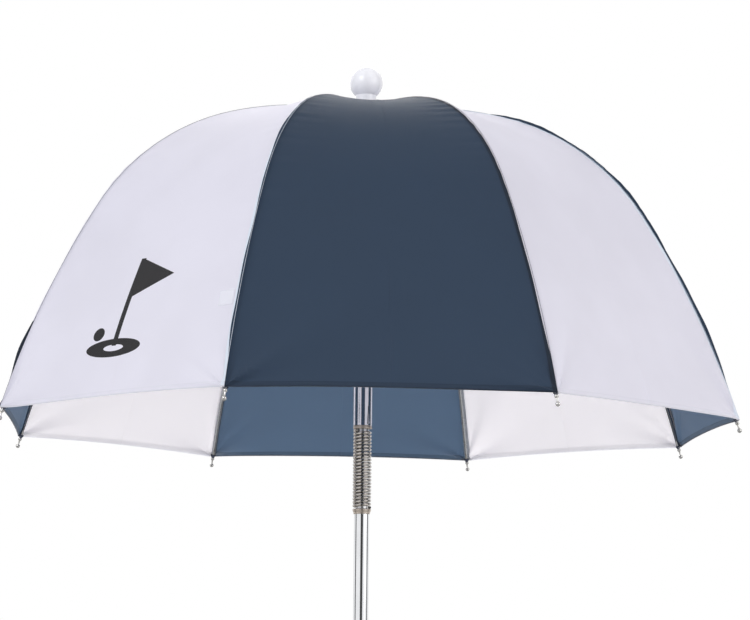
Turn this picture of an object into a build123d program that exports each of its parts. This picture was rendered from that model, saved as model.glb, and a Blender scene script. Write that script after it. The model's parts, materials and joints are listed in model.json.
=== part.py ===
from build123d import *
import math
import os

# Golf bag umbrella: an eight-rib domed canopy on a chromed two-piece shaft joined by a coil spring.
# Units are millimetres. +Z runs up the shaft and the origin is the centre of the foot's lower face.
# Ribs stand at 22.5 degrees plus multiples of 45 about Z. The canopy is drawn open and the shaft straight.

# ---------------------------------------------------------------- driving dimensions
SIDES = 8
SECTOR = 360.0 / SIDES
HALF_SECTOR = SECTOR / 2
CANOPY_R = 356.0  # shaft axis to the centre of a rib's ball tip
LOWER_SHAFT_R = 7.0
UPPER_SHAFT_R = 8.75
TUBE_WALL = 0.8

NOSE_HEIGHT = 8.0  # end plug below the lower tube
NOSE_R = 6.8
NOSE_ROUND = 4.0
PLUG_DEPTH = 22.0  # how far a plug goes into its tube
LOWER_SHAFT_TOP = 560.0
LOWER_COLLAR_R = 7.8
LOWER_COLLAR_HEIGHT = 5.0
UPPER_COLLAR_R = 8.3
UPPER_COLLAR_HEIGHT = 3.0
COLLAR_CHAMFER = 0.4
SPRING_LENGTH = 75.0
SPRING_WIRE_R = 1.15
SPRING_PITCH = 3.19
SPRING_MEAN_R = UPPER_SHAFT_R - SPRING_WIRE_R
SPRING_STUD_R = 5.9
SPRING_STUD_LENGTH = 12.0  # inside the coil
SPRING_BASE = LOWER_SHAFT_TOP + LOWER_COLLAR_HEIGHT
SPRING_TOP = SPRING_BASE + SPRING_LENGTH
UPPER_SHAFT_BASE = SPRING_TOP + UPPER_COLLAR_HEIGHT

TIP_PLANE = UPPER_SHAFT_BASE - 12.0  # height of the ball tips
PIVOT_Z = TIP_PLANE + 0.8752 * CANOPY_R  # height of the notch wire the ribs turn on
PIVOT_R = 12.5
BALL_R = 15.8
BALL_Z = TIP_PLANE + 0.958 * CANOPY_R
NECK_R = 9.5

STUD_R = 4.0  # the finial's stud, screwed into the plug at the top of the shaft
STUD_FIT = 0.02
TOP_PLUG_DEPTH = 30.0
STUD_HOLE_DEPTH = 22.0
STUD_END_ROOM = 2.0
TUBE_END = PIVOT_Z + 2.0
NOTCH_R = 15.2
NOTCH_LOW = PIVOT_Z - 6.0
NOTCH_TOP = PIVOT_Z + 2.4
WIRE_R = 0.6
WIRE_GROOVE = 0.05  # room round the wire in its groove
SLOT_FLOOR_R = 10.0

# A rib's outer face is three tangent arcs, as (length, slope in degrees at the arc's end).
RIB_START_SLOPE = 4.0
RIB_ARCS = ((0.362 * CANOPY_R, -17.0), (0.463 * CANOPY_R, -58.2), (0.613 * CANOPY_R, -73.1))
RIB_LENGTH = sum(length for length, _ in RIB_ARCS)
RIB_WIDTH = 3.2
RIB_DEPTH = 2.4
RIB_WALL = 0.5
RIB_BLADE = 8.0  # flat inner end, from the notch wire to the channel
RIB_EYE_R = 2.2
BLADE_THICK = 1.4
BLADE_HEIGHT = 3.6
BLADE_OVERLAP = 5.0  # how far the flat end runs on inside the channel
SLOT_ROOM = 0.5  # slot width beyond the blade
EYE_HOLE_R = WIRE_R + 0.05
TIP_BALL_R = 2.1
TIP_SHANK_R = 0.95
TIP_BEAD_BACK = 6.5  # ball centre back to the bead the cloth is tied behind
# Turned outline of a tip's shank and bead, (radius, distance) from the ball's centre.
TIP_OUTLINE = ((0, -16), (TIP_SHANK_R, -16), (TIP_SHANK_R, -8.4), (1.7, -8),
               (1.7, -6), (0.9, -5.4), (0.9, -1), (0, -1))
FLEX_AT = 0.55 * CANOPY_R  # where along the rib its springing is gathered into one hinge
FABRIC_END = RIB_LENGTH - 9.0  # the hem stops short of the ball tip

JOINT_AT = 0.36 * CANOPY_R  # stretcher joint along the rib
JOINT_DROP = 4.4  # stretcher pin below the rib's outer face
PIN_R = 0.8
PIN_HEAD = 0.4  # how far a pin stands out of each ear
EAR_LENGTH = 7.0
EAR_HEIGHT = 5.2
STRETCHER_WIDTH = 2.8

RUNNER_LENGTH = 43.0  # runner foot to its wire
RUNNER_PIVOT_R = 14.6
RUNNER_BORE_R = UPPER_SHAFT_R + 0.1
RUNNER_BODY_R = 12.9
RUNNER_FLANGE_R = 17.2
RUNNER_FLANGE_HALF = 4.5
RUNNER_SLOT_FLOOR_R = 12.0
RUNNER_FOOT_R = 14.1
RUNNER_FOOT_HEIGHT = 4.0
RUNNER_CLOSED_FOOT = UPPER_SHAFT_BASE + 0.6
RUNNER_CLOSED_Z = RUNNER_CLOSED_FOOT + RUNNER_LENGTH
RIB_FOLD_DEG = 71.0  # turn of a rib's inner part about the notch wire, from open to closed

CATCH_AZIMUTH = -55.0
CATCH_THICK = 1.4
CATCH_HEIGHT = 17.0
CATCH_REACH = 11.0  # shaft axis to the shoulder of a catch
CATCH_FLUSH = UPPER_SHAFT_R - 0.1
CATCH_BACK = 5.5
CATCH_TRAVEL = 2.4
CATCH_ROOM = 0.4
SLOT_END_ROOM = 0.3
BOTTOM_CATCH_Z = UPPER_SHAFT_BASE + 1.2
CATCH_DROP = 0.3  # top catch's shoulder below the open runner

FABRIC_GAP = 1.0  # rib's outer face to the cloth
FABRIC_THICK = 0.4
CROWN_RISE = 2.9  # notch wire to the underside of the cloth over the notch
CROWN_HOLE_R = 6.0
CROWN_BLEND_AT = 0.09 * CANOPY_R  # where the cloth has come down from the notch onto the ribs
SEAM_GAP = 0.05
UPPER_STATIONS = 5
LOWER_STATIONS = 7
WASHER_R = 10.5
WASHER_THICK = 0.8
WASHER_BASE = PIVOT_Z + CROWN_RISE + FABRIC_THICK + 0.1
WASHER_TOP = WASHER_BASE + WASHER_THICK

STRAP_PANEL = 5  # panels counted from zero
STRAP_AT = RIB_LENGTH - 0.26 * CANOPY_R
STRAP_FROM_SEAM = 14.0
STRAP_SIZE = (14.0, 18.0, 1.0)
STRAP_LIFT = 0.4


# ---------------------------------------------------------------- rib curve and the linkage it belongs to
def rib_point(s):
    """(radius, height, slope in degrees) of a rib's outer face, s along it from the notch wire."""
    r, z, slope = PIVOT_R, PIVOT_Z, RIB_START_SLOPE
    for length, end_slope in RIB_ARCS:
        step = min(s, length)
        turned = (end_slope - slope) * step / length
        middle = math.radians(slope + turned / 2)
        half = math.radians(turned / 2)
        chord = step * (math.sin(half) / half if half else 1.0)
        r += chord * math.cos(middle)
        z += chord * math.sin(middle)
        slope += turned
        s -= step
        if s <= 0:
            break
    return r, z, slope


def below_rib(s, depth):
    """(radius, height) of the point at s, depth below the rib's outer face."""
    r, z, slope = rib_point(s)
    a = math.radians(slope)
    return r + depth * math.sin(a), z - depth * math.cos(a)


def turned_down(point, centre, degrees):
    """A point of the rib plane after turning about centre, outer side going down."""
    a = math.radians(degrees)
    x, y = point[0] - centre[0], point[1] - centre[1]
    return centre[0] + x * math.cos(a) + y * math.sin(a), centre[1] - x * math.sin(a) + y * math.cos(a)


def linkage():
    """(length, slope in degrees, runner wire height) of an open stretcher that fits the closed frame too."""
    pin = below_rib(JOINT_AT, JOINT_DROP)
    pin_closed = turned_down(pin, (PIVOT_R, PIVOT_Z), RIB_FOLD_DEG)
    length = math.dist(pin_closed, (RUNNER_PIVOT_R, RUNNER_CLOSED_Z))
    reach = pin[0] - RUNNER_PIVOT_R
    drop = math.sqrt(length**2 - reach**2)
    return length, math.degrees(math.atan2(drop, reach)), pin[1] - drop


STRETCHER_LENGTH, STRETCHER_SLOPE, RUNNER_Z = linkage()
RUNNER_FOOT = RUNNER_Z - RUNNER_LENGTH
RUNNER_WINDOW = (RUNNER_FOOT + 5.5, RUNNER_FOOT + 20.0)
TOP_CATCH_Z = RUNNER_FOOT - CATCH_DROP - CATCH_HEIGHT


# ---------------------------------------------------------------- small helpers
def rod(radius, low, high):
    """Upright cylinder about Z between two heights."""
    return Pos(0, 0, (low + high) / 2) * Cylinder(radius, high - low)


def tube(radius, wall, low, high):
    return rod(radius, low, high) - rod(radius - wall, low - 1, high + 1)


def block(x0, x1, width, z0, z1):
    """Box from x0 to x1 and z0 to z1, centred on the XZ plane."""
    return Pos((x0 + x1) / 2, 0, (z0 + z1) / 2) * Box(x1 - x0, width, z1 - z0)


def plate(points, thick):
    """Flat plate in the XZ plane through (x, z) corners, centred on that plane."""
    outline = make_face(Polyline(*[(x, 0, z) for x, z in points], close=True))
    return extrude(outline, thick / 2, dir=(0, 1, 0), both=True)


def cross_pin(radius, x, z, length):
    """Cylinder along Y, centred on the XZ plane."""
    return Pos(x, 0, z) * Rot(90, 0, 0) * Cylinder(radius, length)


def ring(major, minor, z):
    return Pos(0, 0, z) * Torus(major, minor)


def around(shape, index, offset=HALF_SECTOR):
    return Rot(0, 0, offset + SECTOR * index) * shape


def radial_slots(inner, outer, width, low, high):
    slot = block(inner, outer, width, low, high)
    return [around(slot, i) for i in range(SIDES)]


# ---------------------------------------------------------------- shaft, spring and foot
def foot_plug():
    nose = rod(NOSE_R, 0, NOSE_HEIGHT)
    nose = fillet(nose.edges().filter_by(GeomType.CIRCLE).group_by(Axis.Z)[0], NOSE_ROUND)
    return nose + rod(LOWER_SHAFT_R - TUBE_WALL, NOSE_HEIGHT, NOSE_HEIGHT + PLUG_DEPTH)


def lower_shaft():
    return tube(LOWER_SHAFT_R, TUBE_WALL, NOSE_HEIGHT, LOWER_SHAFT_TOP)


def lower_spring_anchor():
    """Plug in the lower tube, with a stud that carries the collar and the spring's first coils."""
    plug = rod(LOWER_SHAFT_R - TUBE_WALL, LOWER_SHAFT_TOP - PLUG_DEPTH, LOWER_SHAFT_TOP)
    return plug + rod(SPRING_STUD_R, LOWER_SHAFT_TOP, SPRING_BASE + SPRING_STUD_LENGTH)


def upper_spring_anchor():
    """The same in the upper tube, cut away where the bottom catch is pressed in."""
    low, high = UPPER_SHAFT_BASE, UPPER_SHAFT_BASE + PLUG_DEPTH
    plug = rod(UPPER_SHAFT_R - TUBE_WALL, low, high)
    deepest = CATCH_BACK - CATCH_TRAVEL - CATCH_ROOM
    room = block(deepest, CATCH_REACH, CATCH_THICK + 2 * CATCH_ROOM, low, high + 1)
    plug -= around(room, 0, CATCH_AZIMUTH)
    return plug + rod(SPRING_STUD_R, SPRING_TOP - SPRING_STUD_LENGTH, low)


def spring_collar(radius, low, high):
    collar = rod(radius, low, high)
    rims = collar.edges().filter_by(GeomType.CIRCLE)
    return chamfer(rims, COLLAR_CHAMFER) - rod(SPRING_STUD_R, low - 1, high + 1)


def flex_spring():
    height = SPRING_LENGTH - 2 * SPRING_WIRE_R
    coil = Helix(SPRING_PITCH, height, SPRING_MEAN_R)
    wire = Plane(coil @ 0, z_dir=coil % 0) * Circle(SPRING_WIRE_R)
    return Pos(0, 0, SPRING_BASE + SPRING_WIRE_R) * sweep(wire, path=coil, is_frenet=True)


def catch_slot(low):
    bottom, top = low - SLOT_END_ROOM, low + CATCH_HEIGHT + SLOT_END_ROOM
    slot = block(CATCH_BACK, CATCH_REACH + 1, CATCH_THICK + CATCH_ROOM, bottom, top)
    return around(slot, 0, CATCH_AZIMUTH)


def upper_shaft():
    shaft = tube(UPPER_SHAFT_R, TUBE_WALL, UPPER_SHAFT_BASE, TUBE_END)
    return shaft - catch_slot(BOTTOM_CATCH_Z) - catch_slot(TOP_CATCH_Z)


def catch(low, shoulder_up):
    """Flat wedge that stands out of the shaft at its shoulder and runs flush with it at the other end."""
    top, bottom = (CATCH_REACH, CATCH_FLUSH) if shoulder_up else (CATCH_FLUSH, CATCH_REACH)
    high = low + CATCH_HEIGHT
    wedge = plate([(CATCH_BACK, low), (bottom, low), (top, high), (CATCH_BACK, high)], CATCH_THICK)
    return around(wedge, 0, CATCH_AZIMUTH)


# ---------------------------------------------------------------- crown
def top_plug():
    plug = rod(UPPER_SHAFT_R - TUBE_WALL, PIVOT_Z - TOP_PLUG_DEPTH, TUBE_END)
    return plug - rod(STUD_R + STUD_FIT, PIVOT_Z - STUD_HOLE_DEPTH, TUBE_END + 1)


def wire_groove(outer, inner, z):
    """Ring cut that lets a wire of the given height in from outside."""
    half = WIRE_R + WIRE_GROOVE
    return rod(outer + 1, z - half, z + half) - rod(inner - half, z - half - 1, z + half + 1)


def top_notch():
    body = rod(NOTCH_R, NOTCH_LOW, NOTCH_TOP) - rod(UPPER_SHAFT_R, NOTCH_LOW - 1, NOTCH_TOP + 1)
    width = BLADE_THICK + SLOT_ROOM
    body -= radial_slots(SLOT_FLOOR_R, NOTCH_R + 2, width, NOTCH_LOW - 1, NOTCH_TOP + 1)
    return body - wire_groove(NOTCH_R, PIVOT_R, PIVOT_Z)


def crown_washer():
    return rod(WASHER_R, WASHER_BASE, WASHER_TOP) - rod(STUD_R + 0.2, WASHER_BASE - 1, WASHER_TOP + 1)


def ball_finial():
    ball = Pos(0, 0, BALL_Z) * Sphere(BALL_R)
    neck = rod(NECK_R, WASHER_TOP, BALL_Z)
    return ball + neck + rod(STUD_R, PIVOT_Z - STUD_HOLE_DEPTH + STUD_END_ROOM, WASHER_TOP + 1)


# ---------------------------------------------------------------- runner
def runner():
    """Sleeve with a slotted rim for the stretchers, and a keyway and window the catches pass through."""
    low, high = RUNNER_FOOT - 1, RUNNER_Z + RUNNER_FLANGE_HALF + 1
    body = rod(RUNNER_BODY_R, RUNNER_FOOT, RUNNER_Z)
    body += rod(RUNNER_FLANGE_R, RUNNER_Z - RUNNER_FLANGE_HALF, RUNNER_Z + RUNNER_FLANGE_HALF)
    body += rod(RUNNER_FOOT_R, RUNNER_FOOT, RUNNER_FOOT + RUNNER_FOOT_HEIGHT)
    body -= rod(RUNNER_BORE_R, low, high)
    slot_low = RUNNER_Z - RUNNER_FLANGE_HALF - 1
    body -= radial_slots(RUNNER_SLOT_FLOOR_R, RUNNER_FLANGE_R + 2, BLADE_THICK + SLOT_ROOM, slot_low, high)
    body -= wire_groove(RUNNER_FLANGE_R, RUNNER_PIVOT_R, RUNNER_Z)
    keyway = block(CATCH_BACK, CATCH_REACH + CATCH_ROOM, CATCH_THICK + 2 * CATCH_ROOM, low, high)
    window = block(CATCH_BACK, RUNNER_FLANGE_R, CATCH_THICK + 4 * CATCH_ROOM, *RUNNER_WINDOW)
    return body - around(keyway, 0, CATCH_AZIMUTH) - around(window, 0, CATCH_AZIMUTH)


# ---------------------------------------------------------------- ribs and stretchers, drawn in the XZ plane
def rib_path(s0, s1):
    """The rib's outer face between two stations, as tangent arcs."""
    ends, total = [s0], 0.0
    for length, _ in RIB_ARCS:
        total += length
        if s0 < total < s1:
            ends.append(total)
    ends.append(s1)
    arcs = []
    for a, b in zip(ends, ends[1:]):
        points = [(rib_point(s)[0], 0, rib_point(s)[1]) for s in (a, (a + b) / 2, b)]
        arcs.append(ThreePointArc(*points))
    return Wire(arcs)


def channel_section(width, depth, wall):
    """Channel open downwards, its back's outer face on the path."""
    half = width / 2
    inner = half - wall
    corners = [(-half, 0), (half, 0), (half, -depth), (inner, -depth)]
    corners += [(inner, -wall), (-inner, -wall), (-inner, -depth), (-half, -depth)]
    return make_face(Polyline(*corners, close=True))


def rib_channel(s0, s1):
    path = rib_path(s0, s1)
    start = Plane(origin=path @ 0, x_dir=(0, 1, 0), z_dir=path % 0)
    return sweep(start * channel_section(RIB_WIDTH, RIB_DEPTH, RIB_WALL), path=path)


def along(x, z, slope, distance):
    a = math.radians(slope)
    return x + distance * math.cos(a), z + distance * math.sin(a)


def blade(x, z, slope, reach, hole_r):
    """Flat end with an eye centred on (x, z), reaching along the slope."""
    bar = Pos(reach / 2, 0, 0) * Box(reach, BLADE_THICK, BLADE_HEIGHT)
    eye = cross_pin(RIB_EYE_R, 0, 0, BLADE_THICK) + bar - cross_pin(hole_r, 0, 0, 2 * BLADE_THICK)
    return Pos(x, 0, z) * Rot(0, -slope, 0) * eye


def rib_inner():
    """Eye, channel and two ears round the stretcher's head, then the pin through them."""
    x, z = below_rib(0, 0)
    body = rib_channel(RIB_BLADE, FLEX_AT)
    body += blade(x, z, RIB_START_SLOPE, RIB_BLADE + BLADE_OVERLAP, EYE_HOLE_R)
    px, pz = below_rib(JOINT_AT, JOINT_DROP)
    place = Pos(px, 0, pz) * Rot(0, -rib_point(JOINT_AT)[2], 0)
    ear_top = JOINT_DROP - 1.0
    ear = block(-EAR_LENGTH / 2, EAR_LENGTH / 2, RIB_WALL, ear_top - EAR_HEIGHT, ear_top)
    ear -= cross_pin(PIN_R, 0, 0, 2 * RIB_WALL)
    for side in (-1, 1):
        body += place * Pos(0, side * (RIB_WIDTH - RIB_WALL) / 2, 0) * ear
    return [body, place * cross_pin(PIN_R, 0, 0, RIB_WIDTH + 2 * PIN_HEAD)]


def ball_tip():
    """Turned tip crimped into the end of a rib, its ball at the rib's full length."""
    bead_at = RIB_LENGTH - TIP_BEAD_BACK
    shank = revolve(make_face(Polyline(*[(r, 0, h) for r, h in TIP_OUTLINE], close=True)), Axis.Z)
    bx, bz = below_rib(bead_at, RIB_WALL + TIP_SHANK_R)
    slope = rib_point(bead_at)[2]
    x, z = along(bx, bz, slope, TIP_BEAD_BACK)
    return Pos(x, 0, z) * Rot(0, 90 - slope, 0) * (shank + Sphere(TIP_BALL_R))


def rib_outer():
    return [rib_channel(FLEX_AT, FABRIC_END), ball_tip()]


def stretcher():
    """Strut from the runner's wire to the pin under a rib."""
    length = STRETCHER_LENGTH
    section = Plane.YZ * channel_section(STRETCHER_WIDTH, RIB_DEPTH, RIB_WALL)
    channel = Pos(RIB_BLADE, 0, RIB_DEPTH / 2) * extrude(section, length - 2 * RIB_BLADE)
    foot = blade(0, 0, 0, RIB_BLADE + BLADE_OVERLAP, EYE_HOLE_R)
    head = blade(0, 0, 0, RIB_BLADE + BLADE_OVERLAP, PIN_R + 0.05)
    strut = channel + foot + Pos(length, 0, 0) * Rot(0, 0, 180) * head
    return Pos(RUNNER_PIVOT_R, 0, RUNNER_Z) * Rot(0, -STRETCHER_SLOPE, 0) * strut


# ---------------------------------------------------------------- canopy cloth, drawn about the XZ plane
def cloth_point(s, lift):
    """(x, z) of the cloth in the middle plane of its panel, lift above its underside."""
    r, z, slope = rib_point(s)
    a = math.radians(slope)
    offset = FABRIC_GAP + lift
    return (r - offset * math.sin(a)) * math.cos(math.radians(HALF_SECTOR)), z + offset * math.cos(a)


def cloth_line(s0, s1, lift, stations):
    steps = [s0 + (s1 - s0) * i / (stations - 1) for i in range(stations)]
    return [cloth_point(s, lift) for s in steps]


def panel(low_line, high_line):
    """Cloth between two lines of the middle plane, cut to the sector between two ribs."""
    low = Spline(*[(x, 0, z) for x, z in low_line])
    high = Spline(*[(x, 0, z) for x, z in high_line])
    ends = [Line(low @ 1, high @ 1), Line(high @ 0, low @ 0)]
    sheet = extrude(make_face(Wire([low, ends[0], high, ends[1]])), CANOPY_R, dir=(0, 1, 0), both=True)
    spread = 2 * CANOPY_R
    half = spread * math.tan(math.radians(HALF_SECTOR))
    start = SEAM_GAP / math.sin(math.radians(HALF_SECTOR))
    sector = make_face(Polyline((start, 0), (start + spread, -half), (start + spread, half), close=True))
    wedge = Pos(0, 0, TIP_PLANE - 50) * extrude(sector, CANOPY_R + 100)
    return sheet & wedge


def panel_upper():
    lines = []
    for lift in (0.0, FABRIC_THICK):
        flat = PIVOT_Z + CROWN_RISE + lift
        crown = [(CROWN_HOLE_R, flat), (NOTCH_R, flat)]
        lines.append(crown + cloth_line(CROWN_BLEND_AT, FLEX_AT, lift, UPPER_STATIONS))
    return panel(*lines)


def panel_lower():
    return panel(*[cloth_line(FLEX_AT, FABRIC_END, lift, LOWER_STATIONS) for lift in (0.0, FABRIC_THICK)])


def closure_strap():
    """Folded tie band stitched to a panel beside its seam."""
    length, width, thick = STRAP_SIZE
    x, z = cloth_point(STRAP_AT, FABRIC_THICK + STRAP_LIFT)
    side = x * math.tan(math.radians(HALF_SECTOR)) - STRAP_FROM_SEAM
    band = Pos(0, 0, thick / 2) * Box(length, width, thick)
    return Pos(x, side, z) * Rot(0, -rib_point(STRAP_AT)[2], 0) * band


# ---------------------------------------------------------------- the assembly
def nodes():
    """Every sub-part by name, each a list of solids."""
    found = {
        "foot_plug": [foot_plug()],
        "lower_shaft": [lower_shaft()],
        "lower_spring_anchor": [lower_spring_anchor()],
        "flex_spring": [flex_spring()],
        "upper_spring_anchor": [upper_spring_anchor()],
        "lower_spring_collar": [spring_collar(LOWER_COLLAR_R, LOWER_SHAFT_TOP, SPRING_BASE)],
        "upper_spring_collar": [spring_collar(UPPER_COLLAR_R, SPRING_TOP, UPPER_SHAFT_BASE)],
        "upper_shaft": [upper_shaft()],
        "top_plug": [top_plug()],
        "top_notch": [top_notch()],
        "notch_wire": [ring(PIVOT_R, WIRE_R, PIVOT_Z)],
        "crown_washer": [crown_washer()],
        "ball_finial": [ball_finial()],
        "top_catch": [catch(TOP_CATCH_Z, True)],
        "bottom_catch": [catch(BOTTOM_CATCH_Z, False)],
        "runner": [runner()],
        "runner_wire": [ring(RUNNER_PIVOT_R, WIRE_R, RUNNER_Z)],
        "closure_strap": [around(closure_strap(), STRAP_PANEL, 0)],
    }
    rib_parts = {"rib_{}_inner": rib_inner(), "rib_{}_outer": rib_outer(), "stretcher_{}": [stretcher()]}
    panel_parts = {"panel_{}_upper": [panel_upper()], "panel_{}_lower": [panel_lower()]}
    for i in range(SIDES):
        for name, shapes in rib_parts.items():
            found[name.format(i + 1)] = [around(shape, i) for shape in shapes]
        for name, shapes in panel_parts.items():
            found[name.format(i + 1)] = [around(shape, i, 0) for shape in shapes]
    return found


def main():
    os.makedirs("parts", exist_ok=True)
    for name, shapes in nodes().items():
        solids = [solid for shape in shapes for solid in shape.solids()]
        export_step(solids[0] if len(solids) == 1 else Compound(solids), f"parts/{name}.step")


if __name__ == "__main__":
    main()
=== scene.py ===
"""Look of the golf bag umbrella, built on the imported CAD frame. Metres, +Z up the shaft, -Y the front."""

import json
import math

import bmesh
import bpy
import numpy as np
from mathutils import Matrix, Vector


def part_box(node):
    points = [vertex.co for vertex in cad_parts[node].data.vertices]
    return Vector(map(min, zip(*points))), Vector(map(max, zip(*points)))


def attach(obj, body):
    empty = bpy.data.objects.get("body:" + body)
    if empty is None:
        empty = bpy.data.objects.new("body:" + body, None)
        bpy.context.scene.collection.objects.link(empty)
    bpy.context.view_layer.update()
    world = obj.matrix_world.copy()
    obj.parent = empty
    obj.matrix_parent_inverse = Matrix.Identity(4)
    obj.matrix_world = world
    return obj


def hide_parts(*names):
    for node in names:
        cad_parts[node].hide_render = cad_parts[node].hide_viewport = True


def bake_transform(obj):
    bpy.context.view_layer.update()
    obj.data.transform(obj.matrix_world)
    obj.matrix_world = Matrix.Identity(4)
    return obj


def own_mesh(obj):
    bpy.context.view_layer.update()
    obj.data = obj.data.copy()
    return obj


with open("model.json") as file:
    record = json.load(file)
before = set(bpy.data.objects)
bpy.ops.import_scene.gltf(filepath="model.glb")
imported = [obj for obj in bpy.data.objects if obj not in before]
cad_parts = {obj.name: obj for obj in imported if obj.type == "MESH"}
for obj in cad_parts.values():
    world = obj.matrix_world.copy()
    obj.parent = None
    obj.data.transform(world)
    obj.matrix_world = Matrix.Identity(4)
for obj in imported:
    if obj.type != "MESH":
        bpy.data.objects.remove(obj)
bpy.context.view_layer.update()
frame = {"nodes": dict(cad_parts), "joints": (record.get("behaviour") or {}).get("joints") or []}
JOINTS = {joint["name"]: joint for joint in frame["joints"]}
MM = 0.001

# ---------------------------------------------------------------- sizes read from the frame
SIDES = 8
SECTOR, HALF_SECTOR = math.radians(45), math.radians(22.5)
NOTCH = Vector(JOINTS["rib_1_fold"]["pos_m"])
PIVOT_R, PIVOT_Z = NOTCH.xy.length, NOTCH.z
CANOPY_R = 356 * MM  # from the shaft's axis to the rib tips
RIB_START_SLOPE = math.radians(4.0)
RIB_ARCS = ((0.362, -17.0), (0.463, -58.2), (0.613, -73.1))  # (length over canopy radius, end degrees)
RIB_LENGTH = CANOPY_R * sum(length for length, _ in RIB_ARCS)
RIB_BLADE = 8 * MM  # where the channel starts; this and the next three are measured along a rib
FLEX_AT = 0.55 * CANOPY_R
JOINT_AT = 0.36 * CANOPY_R
HEM_AT = RIB_LENGTH - 9 * MM
JOINT_DROP = 4.4 * MM  # from a rib's outer face to the stretcher's pin
TIP_BALL_R = 2.1  # millimetres
TIP_BEAD_BACK = 6.5 * MM
TIP_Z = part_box("rib_1_outer")[0].z + TIP_BALL_R * MM
RIB_BEND = (0.50 * CANOPY_R, 0.60 * CANOPY_R)  # the stretch of a rib that springs straight when folded; here only its start is used, where the strip's points come closer


def smooth(low, high, x):
    """0 below low, 1 above high and a smooth step between."""
    t = np.clip((np.asarray(x, float) - low) / (high - low), 0, 1)
    return t * t * (3 - 2 * t)


def rib_curve(s):
    """(radius, height, slope) of a rib's outer face at distances s from the notch wire."""
    s = np.asarray(s, float)
    r, z, slope = PIVOT_R + np.minimum(s, 0), np.full_like(s, PIVOT_Z), np.full_like(s, RIB_START_SLOPE)
    start, start_slope = 0.0, RIB_START_SLOPE
    for share, end in RIB_ARCS:
        length = share * CANOPY_R
        bend = (math.radians(end) - start_slope) / length
        t = np.clip(s - start, 0, length)
        here = start_slope + bend * t
        r = r + (np.sin(here) - math.sin(start_slope)) / bend
        z = z - (np.cos(here) - math.cos(start_slope)) / bend
        slope = slope + bend * t
        start += length
        start_slope = math.radians(end)
    return r, z, slope


def turn_z(points, angle):
    """Points turned about the shaft."""
    c, s = math.cos(angle), math.sin(angle)
    points = np.asarray(points, float)
    x, y, z = points[..., 0], points[..., 1], points[..., 2]
    return np.stack([c * x - s * y, s * x + c * y, z], -1)


def rib_point(s):
    """rib_curve at one distance, as plain numbers."""
    return tuple(float(value) for value in rib_curve(s))


def rib_angle(k):
    return HALF_SECTOR + SECTOR * (k - 1)


def panel_angle(k):
    return SECTOR * (k - 1)


# ---------------------------------------------------------------- mesh helpers
def mesh_object(name, points, faces, material, sharp=35.0):
    """Smooth-shaded mesh piece facing outwards, with edges sharper than the given angle left crisp."""
    mesh = bpy.data.meshes.new(name)
    mesh.from_pydata([tuple(p) for p in points], [], [tuple(f) for f in faces])
    shell = bmesh.new()
    shell.from_mesh(mesh)
    bmesh.ops.recalc_face_normals(shell, faces=shell.faces)
    shell.to_mesh(mesh)
    shell.free()
    mesh.polygons.foreach_set("use_smooth", [True] * len(mesh.polygons))
    mesh.set_sharp_from_angle(angle=math.radians(sharp))
    mesh.materials.append(material)
    obj = bpy.data.objects.new(name, mesh)
    bpy.context.scene.collection.objects.link(obj)
    return obj


def grid_faces(rows, columns, closed=False, first=0):
    """Quads over a rows by columns grid of points; closed joins the last column to the first."""
    faces = []
    for i in range(rows - 1):
        low, high = first + i * columns, first + (i + 1) * columns
        for j in range(columns if closed else columns - 1):
            k = (j + 1) % columns
            faces.append((low + j, low + k, high + k, high + j))
    return faces


def capped(rings):
    """A closed skin over rings of points, with both ends filled."""
    rows, columns = len(rings), len(rings[0])
    last = (rows - 1) * columns
    caps = [tuple(range(columns)), tuple(range(last + columns - 1, last - 1, -1))]
    return np.array(rings, float).reshape(-1, 3), grid_faces(rows, columns, closed=True) + caps


def lathe_parts(profile, segments=64):
    """Points and faces of a closed (radius, height) outline turned about Z, with a pole at radius zero."""
    points, faces, rings = [], [], []
    turns = [2 * math.pi * i / segments for i in range(segments)]
    for r, z in profile:
        if r < 1e-9:
            rings.append([len(points)])
            points.append((0, 0, z))
        else:
            rings.append(list(range(len(points), len(points) + segments)))
            points += [(r * math.cos(t), r * math.sin(t), z) for t in turns]
    pole_ends = len(rings[0]) == 1 and len(rings[-1]) == 1
    pairs = list(zip(rings, rings[1:])) + ([] if pole_ends else [(rings[-1], rings[0])])
    for low, high in pairs:
        for i in range(segments):
            j = (i + 1) % segments
            if len(low) == 1 and len(high) == 1:
                break
            if len(low) == 1:
                faces.append((low[0], high[j], high[i]))
            elif len(high) == 1:
                faces.append((low[i], low[j], high[0]))
            else:
                faces.append((low[i], low[j], high[j], high[i]))
    return np.array(points, float), faces


def joined(*parts):
    """Several (points, faces) as one."""
    points, faces, count = [], [], 0
    for more, quads in parts:
        points.append(np.asarray(more, float))
        faces += [tuple(i + count for i in quad) for quad in quads]
        count += len(more)
    return np.concatenate(points), faces


def placed(part, matrix):
    """A part drawn in millimetres, scaled to metres and moved by a matrix."""
    points, faces = part
    m = np.array(matrix, float)
    return np.asarray(points, float) * MM @ m[:3, :3].T + m[:3, 3], faces


def rounded(outline, radius, steps=4):
    """A closed outline with every corner rounded."""
    result = []
    count = len(outline)
    for i in range(count):
        before, here, after = (Vector(outline[j % count]) for j in (i - 1, i, i + 1))
        back, ahead = before - here, after - here
        cut = min(radius, back.length / 2.01, ahead.length / 2.01)
        start, end = here + back.normalized() * cut, here + ahead.normalized() * cut
        for n in range(steps + 1):
            t = n / steps
            result.append(tuple(start * (1 - t) ** 2 + here * 2 * t * (1 - t) + end * t * t))
    return result


# ---------------------------------------------------------------- materials
def new_material(name):
    material = bpy.data.materials.new(name)
    material.use_nodes = True
    nodes = material.node_tree.nodes
    return material, material.node_tree, nodes["Principled BSDF"]


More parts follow.
